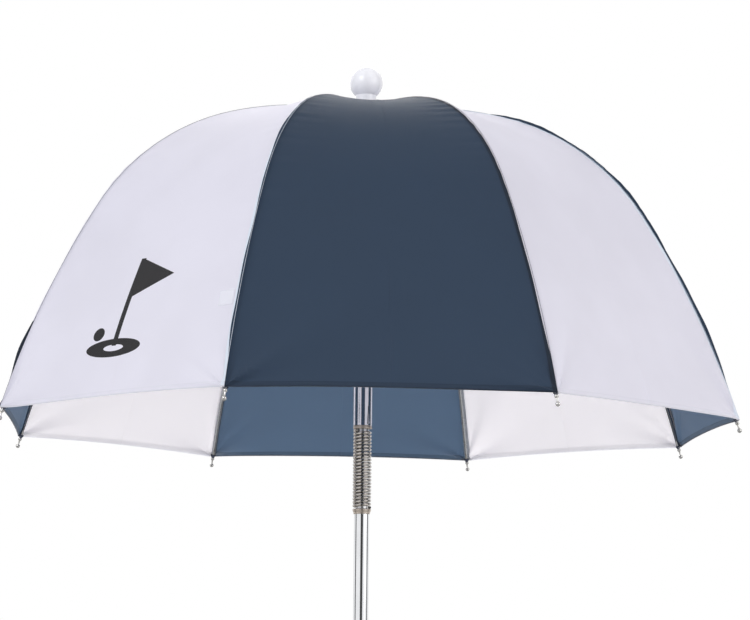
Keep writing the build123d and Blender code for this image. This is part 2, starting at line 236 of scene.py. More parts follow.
def add(tree, kind, inputs=None, **settings):
    """A node with its settings and its inputs given as values or as sockets of other nodes."""
    node = tree.nodes.new(kind)
    for key, value in settings.items():
        setattr(node, key, value)
    for key, value in (inputs or {}).items():
        if isinstance(value, bpy.types.NodeSocket):
            tree.links.new(value, node.inputs[key])
        else:
            node.inputs[key].default_value = value
    return node


def maths(tree, operation, a, b=0.0, c=0.0):
    return add(tree, "ShaderNodeMath", {0: a, 1: b, 2: c}, operation=operation).outputs[0]


def noise(tree, scale, detail=3.0, rough=0.5, vector=None):
    inputs = {"Scale": scale, "Detail": detail, "Roughness": rough}
    inputs["Vector"] = vector or add(tree, "ShaderNodeTexCoord").outputs["Object"]
    return add(tree, "ShaderNodeTexNoise", inputs).outputs["Fac"]


def ramp(tree, value, low, high, a, b):
    """Maps low..high of a value to a..b, smoothly."""
    inputs = {"Value": value, "From Min": low, "From Max": high, "To Min": a, "To Max": b}
    return add(tree, "ShaderNodeMapRange", inputs, interpolation_type="SMOOTHSTEP").outputs["Result"]


def mix(tree, factor, a, b):
    """Colour a where the factor is 0 and b where it is 1."""
    return add(tree, "ShaderNodeMix", {0: factor, 6: a, 7: b}, data_type="RGBA").outputs[2]


def bump(tree, shader, height, strength, distance):
    node = add(tree, "ShaderNodeBump", {"Height": height, "Strength": strength, "Distance": distance})
    tree.links.new(node.outputs["Normal"], shader.inputs["Normal"])


def metal(name, colour, rough, brushed=(900.0, 900.0, 6.0), wear=0.08):
    """Plated or drawn metal: fine lines along the part, smudges in the roughness."""
    material, tree, shader = new_material(name)
    coords = add(tree, "ShaderNodeTexCoord").outputs["Object"]
    lines = add(tree, "ShaderNodeMapping", {"Vector": coords, "Scale": brushed}).outputs["Vector"]
    grain = noise(tree, 1.0, 4.0, 0.6, lines)
    smudge = noise(tree, 28.0, 3.0, 0.6)
    dark = tuple(c * 0.82 for c in colour)
    face = mix(tree, ramp(tree, smudge, 0.35, 0.75, 0.0, 0.5), (*colour, 1), (*dark, 1))
    tree.links.new(face, shader.inputs["Base Color"])
    tree.links.new(ramp(tree, smudge, 0.3, 0.8, rough, rough + wear), shader.inputs["Roughness"])
    shader.inputs["Metallic"].default_value = 1.0
    bump(tree, shader, grain, 0.05, 0.0001)
    return material


def plastic(name, colour, rough, grain_scale=2500.0, strength=0.06):
    """Moulded plastic with a fine surface grain and slight tone changes."""
    material, tree, shader = new_material(name)
    light = tuple(min(1.0, c * 1.08 + 0.003) for c in colour)
    face = mix(tree, noise(tree, 40.0, 2.0), (*colour, 1), (*light, 1))
    tree.links.new(face, shader.inputs["Base Color"])
    smudge = noise(tree, 90.0, 3.0)
    tree.links.new(ramp(tree, smudge, 0.3, 0.7, rough, rough + 0.08), shader.inputs["Roughness"])
    bump(tree, shader, noise(tree, grain_scale, 2.0), strength, 0.0002)
    return material


def attribute(tree, name):
    return add(tree, "ShaderNodeAttribute", attribute_name=name).outputs["Fac"]


def band(tree, value, centre, half_width):
    """1 where a value lies within a half width of the centre."""
    off = maths(tree, "ABSOLUTE", maths(tree, "SUBTRACT", value, centre))
    return maths(tree, "LESS_THAN", off, half_width)


def lighter(colour, times):
    return (*(min(1.0, c * times) for c in colour), 1)


SEAM_FOLD = (3.6, 4.2)  # millimetres from a seam over which its folded allowance ends; on white it shows through pale blue, on navy this band is painted shade
HEM_FOLD = (4.6, 5.2)  # millimetres from the hem's edge over which its fold ends, darkened there with painted shade
THREAD = 0.3  # half the width of a sewn row, in millimetres
FLAG_ASIDE, FLAG_ALONG = 12 * MM, 415 * MM  # from a panel's middle line, and along it from the notch wire


def flag_mask(tree, across, along):
    """1 inside a printed golf flag: a pole, a pennant, a hole and a ball, drawn in millimetres."""
    x = maths(tree, "MULTIPLY", maths(tree, "ADD", across, FLAG_ASIDE), 1000.0)
    y = maths(tree, "MULTIPLY", maths(tree, "SUBTRACT", FLAG_ALONG, along), 1000.0)

    def disc(cx, cy, rx, ry):
        dx = maths(tree, "DIVIDE", maths(tree, "SUBTRACT", x, cx), rx)
        dy = maths(tree, "DIVIDE", maths(tree, "SUBTRACT", y, cy), ry)
        square = maths(tree, "ADD", maths(tree, "MULTIPLY", dx, dx), maths(tree, "MULTIPLY", dy, dy))
        return maths(tree, "LESS_THAN", square, 1.0)

    pole = maths(tree, "MULTIPLY", band(tree, x, 0.0, 2.8), band(tree, y, 5.0, 45.0))
    off_middle = maths(tree, "ABSOLUTE", maths(tree, "SUBTRACT", y, 29.0))
    reach = maths(tree, "MULTIPLY_ADD", off_middle, -2.2, 46.0)
    past_pole = maths(tree, "GREATER_THAN", x, 0.0)
    pennant = maths(tree, "MULTIPLY", past_pole, maths(tree, "LESS_THAN", x, reach))
    ground = maths(tree, "SUBTRACT", disc(0.0, -42.0, 33.0, 9.0), disc(0.0, -42.0, 12.0, 3.2))
    total = maths(tree, "ADD", pole, pennant)
    for shape in (ground, disc(-23.0, -27.0, 6.5, 6.5)):
        total = maths(tree, "ADD", total, shape)
    return maths(tree, "MINIMUM", total, 1.0)


def plain_cloth(tree, inside, outer, inner):
    """The cloth's two faces, each a little uneven in tone."""
    tone = ramp(tree, noise(tree, 9.0, 3.0), 0.3, 0.7, 0.0, 1.0)
    face = mix(tree, inside, (*outer, 1), (*inner, 1))
    pale = mix(tree, inside, lighter(outer, 1.07), lighter(inner, 1.05))
    return mix(tree, tone, face, pale)


def sewing(tree, base, seam, hem, across, colour):
    """Adds the row sewn beside each seam, painted shade over the hem's fold and along its edge, and the
    hem's stitches.
    """
    row = band(tree, seam, 4.6, THREAD)
    base = mix(tree, maths(tree, "MULTIPLY", row, 0.25), base, colour)
    # Painted shade: the hem's fold is darkened a little and its edge strongly.
    base = mix(tree, ramp(tree, hem, *HEM_FOLD, 0.22, 0.0), base, colour)
    base = mix(tree, ramp(tree, hem, 0.7, 1.5, 0.85, 0.0), base, colour)
    wave = maths(tree, "SINE", maths(tree, "MULTIPLY", across, 2400.0))
    dash = maths(tree, "GREATER_THAN", wave, -0.2)
    stitch = maths(tree, "MULTIPLY", dash, band(tree, hem, 4.2, THREAD))
    return mix(tree, maths(tree, "MULTIPLY", stitch, 0.35), base, colour)


def weave_relief(tree, shader, across, along):
    """Fine crossing threads over a soft rumple."""
    threads = [maths(tree, "SINE", maths(tree, "MULTIPLY", way, 9000.0)) for way in (across, along)]
    weave = maths(tree, "MULTIPLY", *threads)
    rumple = maths(tree, "MULTIPLY_ADD", noise(tree, 16.0, 4.0, 0.55), 6.0, weave)
    bump(tree, shader, rumple, 0.25, 0.0003)


def cloth_light(tree, face, inside, lined, printed, glow, share):
    """Outside, a share of light comes through; inside, the camera sees a lit lining and other rays pass."""
    clear = maths(tree, "MULTIPLY", lined, maths(tree, "MULTIPLY_ADD", printed, -0.97, 1.0))
    through = add(tree, "ShaderNodeBsdfTranslucent", {"Color": (*glow, 1)}).outputs[0]
    passing = maths(tree, "MULTIPLY", clear, share)
    outside = add(tree, "ShaderNodeMixShader", {0: passing, 1: face, 2: through}).outputs[0]
    backlight = mix(tree, lined, (0.2, 0.2, 0.2, 1), (0.735, 0.725, 0.72, 1))
    lit = add(tree, "ShaderNodeBsdfTranslucent", {"Color": backlight}).outputs[0]
    both = add(tree, "ShaderNodeAddShader", {0: face, 1: lit}).outputs[0]
    seen = add(tree, "ShaderNodeLightPath").outputs["Is Camera Ray"]
    clear_face = add(tree, "ShaderNodeBsdfTransparent").outputs[0]
    lining = add(tree, "ShaderNodeMixShader", {0: seen, 1: clear_face, 2: both}).outputs[0]
    return add(tree, "ShaderNodeMixShader", {0: inside, 1: outside, 2: lining}).outputs[0]


def cloth_material(name, outer, inner, seam_outer, seam_inner, hem_shade_and_thread, glow, share, ink=None):
    """Woven nylon: an outer face that lets some light in, and an inner face lit from both sides, the navy
    one painted brighter as if backlit.
    """
    material, tree, shader = new_material(name)
    across, along, inside = (attribute(tree, field) for field in ("across_m", "along_m", "inside"))
    seam, hem = attribute(tree, "seam_mm"), attribute(tree, "hem_mm")
    base = plain_cloth(tree, inside, outer, inner)
    printed = 0.0
    if ink:
        outside_only = maths(tree, "SUBTRACT", 1.0, inside)
        printed = maths(tree, "MULTIPLY", flag_mask(tree, across, along), outside_only)
        base = mix(tree, printed, base, (*ink, 1))
    # Beside each seam: on white panels the allowance showing through, on navy panels a band of painted
    # shade.
    allowance_and_seam_shade = mix(tree, inside, (*seam_outer, 1), (*seam_inner, 1))
    base = mix(tree, ramp(tree, seam, *SEAM_FOLD, 0.9, 0.0), base, allowance_and_seam_shade)
    base = sewing(tree, base, seam, hem, across, (*hem_shade_and_thread, 1))
    tree.links.new(base, shader.inputs["Base Color"])
    shader.inputs["Roughness"].default_value = 0.62
    shader.inputs["Specular IOR Level"].default_value = 0.25
    shader.inputs["Sheen Weight"].default_value = 0.04
    weave_relief(tree, shader, across, along)
    hem_lining = ramp(tree, hem, *HEM_FOLD, 0.6, 1.0)
    lined = maths(tree, "MULTIPLY", hem_lining, ramp(tree, seam, *SEAM_FOLD, 0.5, 1.0))
    surface = cloth_light(tree, shader.outputs[0], inside, lined, printed, glow, share)
    tree.links.new(surface, tree.nodes["Material Output"].inputs["Surface"])
    return material


# Painted backlight: the navy's inner colour is several times brighter than its outer colour, standing in
# for light shining through the cloth.
NAVY, NAVY_INSIDE_BACKLIT, NAVY_SHADE_AND_THREAD = (0.0095, 0.023, 0.047), (0.052, 0.096, 0.158), (0.006, 0.010, 0.020)
NAVY_GLOW, NAVY_SHARE = (0.15, 0.22, 0.34), 0.16
WHITE, WHITE_INSIDE = (0.715, 0.70, 0.805), (0.465, 0.45, 0.435)
WHITE_SEAM, WHITE_HEM_SHADE_AND_THREAD = (0.70, 0.77, 0.87), (0.62, 0.62, 0.68)
WHITE_GLOW, WHITE_SHARE = (0.90, 0.89, 0.91), 0.28
INK = (0.012, 0.011, 0.013)
# The dark navy edge colour paints shade beside the seams and along the hem, the grey white edge colour
# paints shade along the hem; both also colour the sewn thread.
navy_look = (NAVY, NAVY_INSIDE_BACKLIT, NAVY_SHADE_AND_THREAD, NAVY_SHADE_AND_THREAD, NAVY_SHADE_AND_THREAD, NAVY_GLOW, NAVY_SHARE)
white_look = (WHITE, WHITE_INSIDE, WHITE_SEAM, NAVY, WHITE_HEM_SHADE_AND_THREAD, WHITE_GLOW, WHITE_SHARE)
navy_cloth = cloth_material("navy_nylon", *navy_look)
white_cloth = cloth_material("white_nylon", *white_look)
printed_cloth = cloth_material("white_nylon_printed", *white_look, INK)
chrome = metal("bright_chrome", (0.83, 0.84, 0.86), 0.07)
spring_metal = metal("spring_plate", (0.66, 0.62, 0.57), 0.15, (400.0, 400.0, 400.0))
strip_metal = metal("rib_strip", (0.62, 0.63, 0.65), 0.24, (300.0, 300.0, 300.0))
wire_metal = metal("drawn_wire", (0.60, 0.60, 0.61), 0.26, (500.0, 500.0, 500.0))
tip_metal = metal("tip_nickel", (0.70, 0.69, 0.67), 0.18, (600.0, 600.0, 600.0))
brass = metal("collar_brass", (0.74, 0.65, 0.56), 0.36, (500.0, 500.0, 500.0))
catch_metal = metal("catch_plate", (0.66, 0.67, 0.70), 0.16, (500.0, 500.0, 40.0))
white_plastic = plastic("white_gloss", (0.80, 0.80, 0.84), 0.16, strength=0.02)
black_plastic = plastic("black_moulding", (0.02, 0.021, 0.024), 0.42)
strap_cloth = plastic("strap_webbing", (0.66, 0.66, 0.73), 0.6, 1400.0, 0.4)
thread = plastic("waxed_thread", (0.05, 0.06, 0.09), 0.7, 900.0, 0.5)


# ---------------------------------------------------------------- canopy cloth
SEAM_LIFT, CROWN_LIFT = 1.0 * MM, 2.9 * MM  # gaps between the ribs and the cloth, and at the crown
CROWN_START = -6.0 * MM
SHEET = 0.3 * MM
SAG, SWELL = 4.6 * MM, 1.1 * MM  # a panel's pull inwards between its ribs, and its unevenness
CORNER_FOLD, PUCKER = 2.3 * MM, 0.13 * MM
CREASE, CREASE_WIDTH = 0.30 * MM, 1.2 * MM
WELT, HEM_WELT = 0.30 * MM, 0.35 * MM  # outer step of cloth folded double, and the hem's extra thickness
HEM_BOW = 2.5 * MM
ROLL = 3.1 * MM
SEAM_ROLLS = {1: (-1, 0.25), 5: (1, 1.12)}  # by side panel: its seam, and the start over CANOPY_R
PRINTED_PANEL = 6  # the front-left white one, which also carries the tie strap


def soft_waves(seed, x, y):
    """Slow, uneven swell over a panel, about one unit high."""
    generator = np.random.default_rng(seed)
    total = 0
    for _ in range(5):
        fx, fy = generator.uniform(-22, 22), generator.uniform(-16, 16)
        total = total + np.sin(fx * x + fy * y + generator.uniform(0, 6.3))
    return total / 3


def corner_folds(seed, beside, above):
    """Pulled folds fanning out of a panel's tied corner: beside is from the seam and above from the hem."""
    generator = np.random.default_rng(seed)
    reach = np.hypot(beside, above)
    angle = np.arctan2(above, beside)
    total = 0
    for turns, size in ((5.0, 0.9), (9.0, 0.55), (14.0, 0.25)):
        total = total + size * np.sin(turns * angle + generator.uniform(0, 6.3))
    fade = np.exp(-reach / (55 * MM)) * (1 - np.exp(-reach / (9 * MM)))
    return total * fade * smooth(0, 6 * MM, beside)


def seam_puckers(seed, beside, s):
    """Short ripples that the seam's stitching draws up over the shoulder."""
    generator = np.random.default_rng(1000 + seed)
    total = 0
    for _ in range(4):
        wave, phase = generator.uniform(11, 24) * MM, generator.uniform(0, 6.3)
        total = total + np.sin(2 * math.pi * s / wave + phase)
    fade = np.exp(-beside / (16 * MM)) * (1 - np.exp(-np.abs(beside) / (2 * MM)))
    stretch = smooth(0.15 * CANOPY_R, 0.4 * CANOPY_R, s) * (1 - smooth(0.8 * CANOPY_R, 1.1 * CANOPY_R, s))
    return PUCKER * total * fade * stretch


def seam_roll(k, s, beside):
    """Height of the narrow, uneven roll of slack cloth along a side panel's front seam."""
    start = SEAM_ROLLS[k][1] * CANOPY_R
    low_end = 1 - smooth(HEM_AT - 65 * MM, HEM_AT - 20 * MM, s)
    stretch = smooth(start, start + 0.15 * CANOPY_R, s) * low_end
    uneven = 1 + 0.16 * np.sin(s / (21 * MM) + k) + 0.09 * np.sin(s / (8 * MM))
    rise, fall = smooth(0, 1.6 * MM, beside), 1 - smooth(2.8 * MM, 10 * MM, beside)
    return ROLL * uneven * stretch * rise * fall


def middle_crease(k, s, across):
    """Faint fold line near a panel's middle, from the crown to the shoulder."""
    place = (0.5 + (k * 37 % 5)) * MM
    line = np.exp(-((across - place) / CREASE_WIDTH) ** 2) * smooth(0.04 * CANOPY_R, 0.12 * CANOPY_R, s)
    return CREASE * line * (1 - smooth(0.35 * CANOPY_R, 0.75 * CANOPY_R, s))


def sheet_point(k, s, u):
    """Outer face of panel k, x out through its middle, y across it, z up; u is -1 and 1 at its seams."""
    r, z, slope = rib_curve(s)
    lift = SEAM_LIFT + SHEET + (CROWN_LIFT - SEAM_LIFT) * (1 - smooth(0, 0.09 * CANOPY_R, s))
    r, z = r - lift * np.sin(slope), z + lift * np.cos(slope)
    half = r * math.sin(HALF_SECTOR)
    middle = np.arctan2(np.tan(slope), math.cos(HALF_SECTOR))
    beside, above = (1 - np.abs(u)) * half, HEM_AT - s
    taut = 1 - 0.7 * smooth(0.8 * CANOPY_R, 1.42 * CANOPY_R, s)
    push = -SAG * smooth(0.02 * CANOPY_R, 0.30 * CANOPY_R, s) * taut * (1 - u * u)
    across = u * half
    swell = soft_waves(10 + k, across, s) * smooth(0.05 * CANOPY_R, 0.4 * CANOPY_R, s)
    push = push + SWELL * swell * (1 - u**4)
    for side in (-1, 1):
        near = np.where(u * side > 0, 1.0, 0.0)
        push = push + CORNER_FOLD * near * corner_folds(100 * k + side, beside, above)
        push = push + near * seam_puckers(10 * k + side, beside, s)
        if SEAM_ROLLS.get(k, (0, 0))[0] == side:
            push = push + near * seam_roll(k, s, beside)
    push = push + middle_crease(k, s, across)
    welt = (1 - smooth(3.4 * MM, 4.4 * MM, (1 - u) * half)) * smooth(0.06 * CANOPY_R, 0.2 * CANOPY_R, s)
    push = push + WELT * welt
    push = push + WELT * (1 - smooth(4.4 * MM, 5.4 * MM, above))
    x = r * math.cos(HALF_SECTOR) - push * np.sin(middle)
    return np.stack([x, across, z + push * np.cos(middle)], -1)


def hem_bow(u):
    """How far the hem's middle rises above its tied corners, along the cloth."""
    return HEM_BOW * (1 - u * u)


def sheet(k, t, u):
    """sheet_point with t the distance along the cloth, stretched so that its last line is the bowed hem."""
    s = t - hem_bow(u) * smooth(0.9 * CANOPY_R, HEM_AT, t)
    return sheet_point(k, s, u)


def sheet_normal(k, t, u):
    """Unit normals of the sheet, pointing out of the canopy."""
    step = 0.2 * MM
    along = sheet(k, t + step, u) - sheet(k, t - step, u)
    across = sheet(k, t, np.minimum(u + 0.002, 1)) - sheet(k, t, u - 0.002)
    normal = np.cross(across, along)
    normal /= np.linalg.norm(normal, axis=-1, keepdims=True)
    return -normal


HEM_WIDTH = CANOPY_R * math.sin(HALF_SECTOR)
SEAM_STATIONS = (0, 0.7, 1.4, 2.1, 2.8, 3.5, 4.2, 5.2, 7, 9.5, 12.5, 16,
                 20, 25, 31, 38, 46, 55, 65, 76, 88, 100, 111, 120)  # millimetres from a seam, at the hem
HEM_STATIONS = (7, 6, 5.4, 5.0, 4.6, 4.2, 3, 1.5, 0)  # millimetres above the hem


def across_stations():
    """Where the cloth is sampled between seams: close together by the seams and at the middle crease."""
    near = 1 - np.array(SEAM_STATIONS) / (HEM_WIDTH / MM)
    fine = np.arange(-6, 6.1, 0.75) / (HEM_WIDTH / MM)
    return np.concatenate([[-1], np.unique(np.round(np.concatenate([near, -near, fine]), 6))])


def seam_lip(k, t):
    """How far a panel's left edge laps over its neighbour at the seam."""
    uneven = 1.5 + 0.5 * np.sin(31 * t + k) + 0.35 * np.sin(83 * t + 2 * k)
    ends = smooth(0.08 * CANOPY_R, 0.3 * CANOPY_R, t) * (1 - smooth(HEM_AT - 60 * MM, HEM_AT - 10 * MM, t))
    return uneven * MM * ends


def add_field(mesh, name, values):
    """A number at every point of a mesh, which its material reads."""
    layer = mesh.attributes.new(name, "FLOAT", "POINT")
    layer.data.foreach_set("value", np.asarray(values).astype(np.float32))


def shade_as_sheet(mesh, normals, sheets):
    """Takes the first faces' shading from the given point normals, and leaves the rim's faces flat."""
    loops = []
    for number, polygon in enumerate(mesh.polygons):
        flat = tuple(polygon.normal)
        for index in polygon.vertices:
            loops.append(tuple(normals[index]) if number < sheets else flat)
    mesh.normals_split_custom_set(loops)


def canopy_piece(name, k, start, end, material):
    """Part of a panel as a closed thin sheet, shaded by the true surface so that its parts join unseen."""
    count = max(12, int((end - start) / (4.2 * MM)))
    t = np.linspace(start, end, count)
    if end > 0.99 * HEM_AT:
        fine = HEM_AT - np.array(HEM_STATIONS) * MM
        t = np.unique(np.concatenate([t[t < fine[0]], fine]))
    u = across_stations()
    tt, uu = np.meshgrid(t, u, indexing="ij")
    uu[:, 0] -= seam_lip(k, t) / (rib_curve(t)[0] * math.sin(HALF_SECTOR))
    outer, normal = sheet(k, tt, uu), sheet_normal(k, tt, uu)
    thick = SHEET + HEM_WELT * (1 - smooth(4.4 * MM, 5.4 * MM, HEM_AT - tt))
    inner = outer - normal * thick[..., None]
    rows, columns = tt.shape
    angle = panel_angle(k)
    points = turn_z(np.concatenate([outer.reshape(-1, 3), inner.reshape(-1, 3)]), angle)
    half = rows * columns
    faces = grid_faces(rows, columns) + grid_faces(rows, columns, first=half)
    sheets = len(faces)
    top, bottom = range(columns), range(half - columns, half)
    left, right = range(0, half, columns), range(columns - 1, half, columns)
    for edge in (top, bottom, left, right):
        faces += [(a, b, b + half, a + half) for a, b in zip(edge, edge[1:])]
    obj = mesh_object(name, points, faces, material)
    mesh = obj.data
    half_width = rib_curve(tt)[0] * math.sin(HALF_SECTOR)
    fields = {"seam_mm": (1 - uu) * half_width / MM, "hem_mm": (HEM_AT - tt) / MM,
              "across_m": uu * half_width, "along_m": tt}
    for field, values in fields.items():
        add_field(mesh, field, np.tile(values.ravel(), 2))
    add_field(mesh, "inside", np.repeat([0.0, 1.0], half))
    normals = turn_z(np.concatenate([normal.reshape(-1, 3), -normal.reshape(-1, 3)]), angle)
    shade_as_sheet(mesh, normals, sheets)
    return obj


def gather(obj):
    """Gives a soft piece its own copy of its mesh."""
    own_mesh(obj)


def build_canopy():
    for k in range(1, SIDES + 1):
        material = navy_cloth if k % 2 else (printed_cloth if k == PRINTED_PANEL else white_cloth)
        for half, start, end in (("upper", CROWN_START, FLEX_AT), ("lower", FLEX_AT, HEM_AT)):
            obj = canopy_piece(f"canopy_{k}_{half}", k, start, end, material)
            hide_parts(f"panel_{k}_{half}")
            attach(obj, f"panel_{k}_{half}")
            gather(obj)


build_canopy()


# ---------------------------------------------------------------- pieces in general
def piece(name, part, material, body=None, replaces=(), sharp=35.0):
    """A mesh piece with its finish, its body and the CAD nodes it stands for."""
    obj = mesh_object(name, *part, material, sharp)
    if replaces:
        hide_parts(*replaces)
    if body:
        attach(obj, body)
    return obj


def at_height(z):
    return Matrix.Translation((0, 0, z))


def rib_frame(k, s, depth=0.0):
    """Place of a point under rib k: local X along the rib, Y across it and Z out of the canopy."""
    r, z, slope = rib_point(s)
    place = Matrix.Translation((r + depth * math.sin(slope), 0, z - depth * math.cos(slope)))
    return Matrix.Rotation(rib_angle(k), 4, "Z") @ place @ Matrix.Rotation(-slope, 4, "Y")


# ---------------------------------------------------------------- finial, collars and spring
def build_finial():
    """Moulded ball on a waisted neck, with a faint parting line round the ball."""
    low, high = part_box("ball_finial")
    ball_r = (high.x - low.x) / 2 / MM
    washer_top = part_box("crown_washer")[1].z
    foot = (washer_top - high.z) / MM + ball_r
    outline = [(0, 0), (10.4, 0), (10.8, 0.4), (10.8, 1.6), (10.3, 2.2), (9.5, 3.4), (9.3, 5.5), (9.3, 8.5)]
    neck = [(r, foot + z) for r, z in outline]
    ball = []
    for i in range(49):
        a = math.radians(-51 + 141 * i / 48)
        r = ball_r - 0.12 * math.exp(-((a / 0.012) ** 2))
        ball.append((r * math.cos(a), r * math.sin(a)))
    ball[-1] = (0, ball_r)
    part = placed(lathe_parts(neck + ball, 96), at_height(high.z - ball_r * MM))
    piece("finial_ball", part, white_plastic, "upper_shaft", ["ball_finial"])


def build_collars():
    """Rolled rings that carry the ends of the spring."""
    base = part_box("lower_spring_collar")[0].z
    outline = [(5.9, 0), (7.3, 0), (7.7, 0.4), (7.8, 1.6), (8.5, 3.2)]
    outline += [(8.7, 3.8), (8.7, 4.4), (8.2, 5), (5.9, 5)]
    part = placed(lathe_parts(rounded(outline, 0.3, 2), 72), at_height(base))
    piece("collar_lower", part, brass, "lower_shaft", ["lower_spring_collar"])
    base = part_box("upper_spring_collar")[0].z
    outline = [(5.9, 0), (8.6, 0), (8.9, 0.4), (8.9, 1.1), (8.5, 1.5), (8.5, 2.6), (8.1, 3), (5.9, 3)]
    part = placed(lathe_parts(rounded(outline, 0.25, 2), 72), at_height(base))
    piece("collar_upper", part, brass, "upper_shaft", ["upper_spring_collar"])


WIRE_R, COIL_PITCH = 1.38, 3.19  # millimetres


def coil(z0, z1, mean_r, first, last):
    """Wire wound round Z between two of its turns, in millimetres above the first turn."""
    rings = []
    steps = int((last - first) * 36)
    for i in range(steps + 1):
        turn = first + (last - first) * i / steps
        a = 2 * math.pi * turn
        ring = []
        for j in range(12):
            b = 2 * math.pi * j / 12
            r = mean_r + WIRE_R * math.cos(b)
            z = COIL_PITCH * turn + WIRE_R * math.sin(b)
            ring.append((r * math.cos(a), r * math.sin(a), min(z1, max(z0, z))))
        rings.append(ring)
    return capped(rings)


def build_spring():
    """Open-wound spring in two lengths, its end turns ground flat."""
    low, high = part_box("flex_spring")
    mean_r = (high.x - low.x) / 2 / MM - WIRE_R
    height = (high.z - low.z) / MM
    turns = (height - 2 * WIRE_R) / COIL_PITCH
    middle = (low.z + high.z) / 2
    place = at_height(low.z + WIRE_R * MM)
    lengths = {"spring_lower": (0, turns / 2, "lower_shaft", "spring", low.z, middle),
               "spring_upper": (turns / 2, turns, "spring", "upper_shaft", middle, high.z)}
    for name, (first, last, below, above, start, end) in lengths.items():
        part = placed(coil(-WIRE_R, height - WIRE_R, mean_r, first, last), place)
        obj = piece(name, part, spring_metal, None, ["flex_spring"], 60.0)
        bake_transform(obj)


# ---------------------------------------------------------------- ribs and their joints
# (across, depth below the outer face) in millimetres
RIB_SECTION = [(-1.6, 0), (1.6, 0), (1.6, 2.4), (1.1, 2.4), (1.1, 0.5), (-1.1, 0.5), (-1.1, 2.4),
               (-1.6, 2.4)]


def eyelet(reach, thick):
    """Flat end with an eye at the origin, in the XZ plane, its shank reaching along X."""
    turns = [math.radians(55 + 250 * i / 20) for i in range(21)]
    outer = [(2.2 * math.cos(t), 2.2 * math.sin(t)) for t in turns] + [(reach, -1.8), (reach, 1.8)]
    turns += [math.radians(-18), math.radians(18)]
    inner = [(0.65 * math.cos(t), 0.65 * math.sin(t)) for t in turns]
    loops = [(outer, thick / 2), (outer, -thick / 2), (inner, -thick / 2), (inner, thick / 2)]
    points = [(x, y, z) for outline, y in loops for x, z in outline]
    count = len(outer)
    faces = []
    for ring in range(4):
        near, far = ring * count, (ring + 1) % 4 * count
        faces += [(near + i, near + (i + 1) % count, far + (i + 1) % count, far + i) for i in range(count)]
    return points, faces


def rib_strip(k):
    """Pressed channel along rib k, with the flat end that turns on the notch wire."""
    section = rounded(RIB_SECTION, 0.28, 2)
    rings = []
    start, bend = np.linspace(RIB_BLADE, RIB_BEND[0], 24), np.linspace(RIB_BEND[0], HEM_AT, 76)
    for s in np.concatenate([start[:-1], bend]):
        r, z, slope = rib_point(s)
        c, n = math.cos(slope), math.sin(slope)
        rings.append([(r + d * MM * n, y * MM, z - d * MM * c) for y, d in section])
    points, faces = capped(rings)
    return joined((turn_z(points, rib_angle(k)), faces), placed(eyelet(13, 1.4), rib_frame(k, 0)))


def cheek(y):
    """Side plate of a joint bracket, round at its lower end, about a pin at the origin."""
    corners = [(3.6, 4.5), (2.0, 0)]
    arc = [(2.0 * math.cos(a), 2.0 * math.sin(a)) for a in (math.radians(-15 * i) for i in range(1, 12))]
    outline = [corners[0], corners[1]] + arc + [(-2.0, 0), (-3.6, 4.5)]
    return capped([[(x, y + side * 0.25, z) for x, z in outline] for side in (-1, 1)])


def pin_head(side):
    """Domed head of the pin, outside a cheek."""
    dome = [(0, 0), (1.35, 0), (1.3, 0.3), (1.05, 0.58), (0.6, 0.76), (0, 0.82)]
    points, faces = lathe_parts(dome, 24)
    return np.stack([points[:, 0], side * (2.1 + points[:, 2]), points[:, 1]], -1), faces


def joint_bracket():
    """Bracket crimped over a rib, and the pin that the stretcher turns on, in millimetres about the pin."""
    drop = JOINT_DROP / MM
    strap = rounded([(-2.1, 0), (2.1, 0), (2.1, -1.2), (-2.1, -1.2)], 0.45, 3)
    saddle = capped([[(x, y, drop + 0.35 + z * 0.3) for y, z in strap] for x in (-3.6, 3.6)])
    pin = [(0.8 * math.cos(math.radians(18 * i)), 0.8 * math.sin(math.radians(18 * i))) for i in range(20)]
    shank = capped([[(x, y, z) for x, z in pin] for y in (-2.2, 2.2)])
    return joined(saddle, cheek(-1.85), cheek(1.85), shank, pin_head(-1), pin_head(1))


def ball_tip():
    """Turned tip along X, its ball at the origin, with the bead that the cloth is tied behind."""
    shank = [(0, -16), (0.95, -16), (0.95, -9.2), (1.25, -8.8), (1.25, -8.2), (1.6, -7.9), (1.85, -7.2)]
    bead = [(1.85, -6.6), (1.6, -5.9), (0.95, -5.4), (0.8, -4.4), (0.8, -2.6), (0.95, -1.87)]
    turns = [math.radians(-60 + 10 * i) for i in range(15)]
    ball = [(TIP_BALL_R * math.cos(a), TIP_BALL_R * math.sin(a)) for a in turns] + [(0, TIP_BALL_R)]
    points, faces = lathe_parts(shank + bead + ball, 28)
    return np.stack([points[:, 2], points[:, 1], -points[:, 0]], -1), faces


def winding(radius, wire, turns, length, x):
    """Thread wound round X at the given place."""
    rings = []
    steps = int(turns * 20)
    for i in range(steps + 1):
        a = 2 * math.pi * turns * i / steps
        at = x + length * (i / steps - 0.5)
        ring = []
        for j in range(7):
            b = 2 * math.pi * j / 7
            r = radius + wire * math.cos(b)
            ring.append((at + wire * math.sin(b), r * math.cos(a), r * math.sin(a)))
        rings.append(ring)
    return capped(rings)


